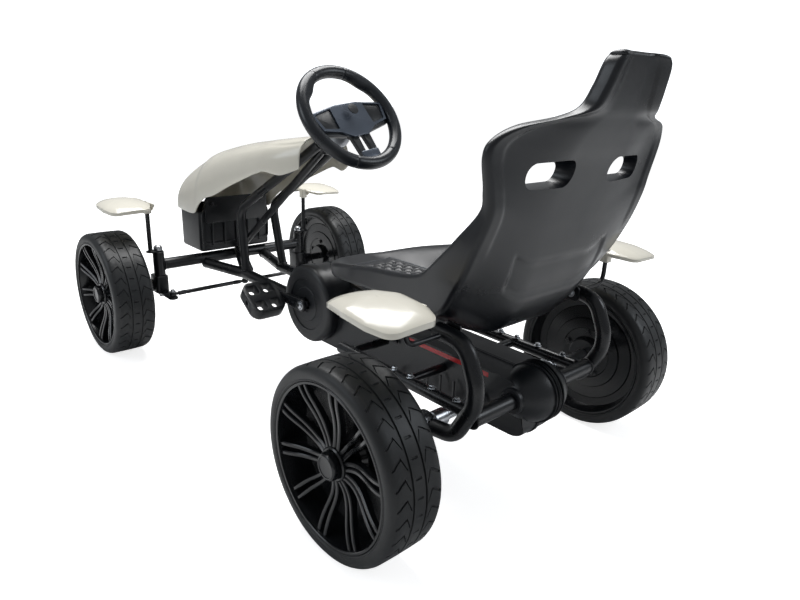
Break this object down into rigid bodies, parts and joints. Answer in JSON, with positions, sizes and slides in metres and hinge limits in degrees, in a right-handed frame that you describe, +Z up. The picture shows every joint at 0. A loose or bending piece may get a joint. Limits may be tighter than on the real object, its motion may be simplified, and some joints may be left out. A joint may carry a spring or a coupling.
{
  "type": "pedal go kart",
  "caption": "Child's pedal go kart: tube frame, steered front wheels, chain-driven rear axle, bucket seat, nose cowl and leaf fenders.",
  "frame": {"origin": "on the floor under the middle of the kart's bounding box", "axes": "+Z up; -Y forwards, so +Y points to the rear along the kart's length; +X to the kart's left, along the axles"},
  "size_m": [0.768, 1.346, 0.746],
  "materials": {
    "tyre": "moulded rubber, semi-matt",
    "powder_coat": "black powder coat, satin",
    "black_plastic": "moulded black plastic, satin",
    "gloss_black": "moulded black plastic, glossy",
    "cream_plastic": "moulded off-white plastic, glossy",
    "grey_plastic": "moulded silver-grey plastic",
    "seat_plastic": "blow-moulded black plastic, satin",
    "quilted_vinyl": "black quilted vinyl",
    "zinc_steel": "zinc plated steel",
    "chain_steel": "oiled steel"
  },
  "bodies": {
    "chassis": {"axle_bearing_left": "zinc_steel", "axle_bearing_right": "zinc_steel", "boss_cover": "grey_plastic", "chain_case_left": "black_plastic", "chain_case_right": "black_plastic", "column_bush": "powder_coat", "column_support_left": "powder_coat", "column_support_right": "powder_coat", "cowl_bracket": "powder_coat", "drive_chain": "chain_steel", "frame_rail_left": "powder_coat", "frame_rail_right": "powder_coat", "front_axle_beam": "powder_coat", "nose_cowl": "cream_plastic", "nose_fairing": "black_plastic", "rear_cross_tube": "powder_coat", "rear_fender_left": "cream_plastic", "rear_fender_right": "cream_plastic", "rear_fender_stay_left": "powder_coat", "rear_fender_stay_right": "powder_coat", "rear_hoop_left": "powder_coat", "rear_hoop_right": "powder_coat", "seat_bracket_left": "powder_coat", "seat_bracket_right": "powder_coat", "seat_pad": "quilted_vinyl", "seat_rail_left": "powder_coat", "seat_rail_right": "powder_coat", "seat_shell": "seat_plastic"},
    "steering": {"steering_column": "powder_coat", "steering_wheel": "black_plastic", "steering_hub_cover": "black_plastic"},
    "knuckle_left": {"knuckle_left": "powder_coat", "kingpin_left": "zinc_steel", "front_fender_stay_left": "powder_coat", "front_fender_left": "cream_plastic"},
    "tie_rod_left": {"tie_rod_left": "powder_coat"},
    "front_wheel_left": {"tyre_front_left": "tyre", "rim_front_left": "gloss_black", "hub_cap_front_left": "gloss_black"},
    "knuckle_right": {"knuckle_right": "powder_coat", "kingpin_right": "zinc_steel", "front_fender_stay_right": "powder_coat", "front_fender_right": "cream_plastic"},
    "tie_rod_right": {"tie_rod_right": "powder_coat"},
    "front_wheel_right": {"tyre_front_right": "tyre", "rim_front_right": "gloss_black", "hub_cap_front_right": "gloss_black"},
    "rear_axle": {"rear_axle": "zinc_steel", "rear_sprocket": "chain_steel", "tyre_rear_left": "tyre", "rim_rear_left": "gloss_black", "hub_cap_rear_left": "gloss_black", "tyre_rear_right": "tyre", "rim_rear_right": "gloss_black", "hub_cap_rear_right": "gloss_black"},
    "crank": {"crankset": "powder_coat", "chainring": "chain_steel"},
    "pedal_left": {"pedal_left": "black_plastic"},
    "pedal_right": {"pedal_right": "black_plastic"}
  },
  "joints": [
    {"name": "knuckle_left_swivel", "type": "hinge", "parent": "chassis", "child": "knuckle_left", "pos_m": [0.219, -0.5025, 0.212], "axis": [0, 0, 1], "range_deg": [-30, 30]},
    {"name": "knuckle_right_swivel", "type": "hinge", "parent": "chassis", "child": "knuckle_right", "pos_m": [-0.219, -0.5025, 0.212], "axis": [0, 0, 1], "range_deg": [-30, 30]},
    {"name": "steering_turn", "type": "hinge", "parent": "chassis", "child": "steering", "pos_m": [0, 0.0314, 0.622], "axis": [0, 0.788, 0.6157], "range_deg": [-30, 30]},
    {"name": "tie_rod_left_swivel", "type": "hinge", "parent": "knuckle_left", "child": "tie_rod_left", "pos_m": [0.219, -0.4275, 0.1498], "axis": [0, 0, 1], "range_deg": [-30, 30]},
    {"name": "tie_rod_right_swivel", "type": "hinge", "parent": "knuckle_right", "child": "tie_rod_right", "pos_m": [-0.219, -0.4275, 0.1498], "axis": [0, 0, 1], "range_deg": [-30, 30]},
    {"name": "front_wheel_left_spin", "type": "hinge", "parent": "knuckle_left", "child": "front_wheel_left", "pos_m": [0.336, -0.518, 0.155], "axis": [1, 0, 0], "continuous": true},
    {"name": "front_wheel_right_spin", "type": "hinge", "parent": "knuckle_right", "child": "front_wheel_right", "pos_m": [-0.336, -0.518, 0.155], "axis": [1, 0, 0], "continuous": true},
    {"name": "rear_axle_spin", "type": "hinge", "parent": "chassis", "child": "rear_axle", "pos_m": [0, 0.465, 0.155], "axis": [1, 0, 0], "continuous": true},
    {"name": "crank_spin", "type": "hinge", "parent": "chassis", "child": "crank", "pos_m": [0, -0.026, 0.207], "axis": [1, 0, 0], "continuous": true},
    {"name": "pedal_left_spin", "type": "hinge", "parent": "crank", "child": "pedal_left", "pos_m": [0.097, -0.111, 0.207], "axis": [1, 0, 0], "continuous": true},
    {"name": "pedal_right_spin", "type": "hinge", "parent": "crank", "child": "pedal_right", "pos_m": [-0.097, 0.059, 0.207], "axis": [1, 0, 0], "continuous": true}
  ],
  "couplings": [
    {"joint": "knuckle_right_swivel", "follows": "knuckle_left_swivel", "ratio": 1},
    {"joint": "steering_turn", "follows": "knuckle_left_swivel", "ratio": 1},
    {"joint": "tie_rod_left_swivel", "follows": "knuckle_left_swivel", "ratio": -1},
    {"joint": "tie_rod_right_swivel", "follows": "knuckle_left_swivel", "ratio": -1},
    {"joint": "crank_spin", "follows": "rear_axle_spin", "ratio": 0.4769}
  ]
}
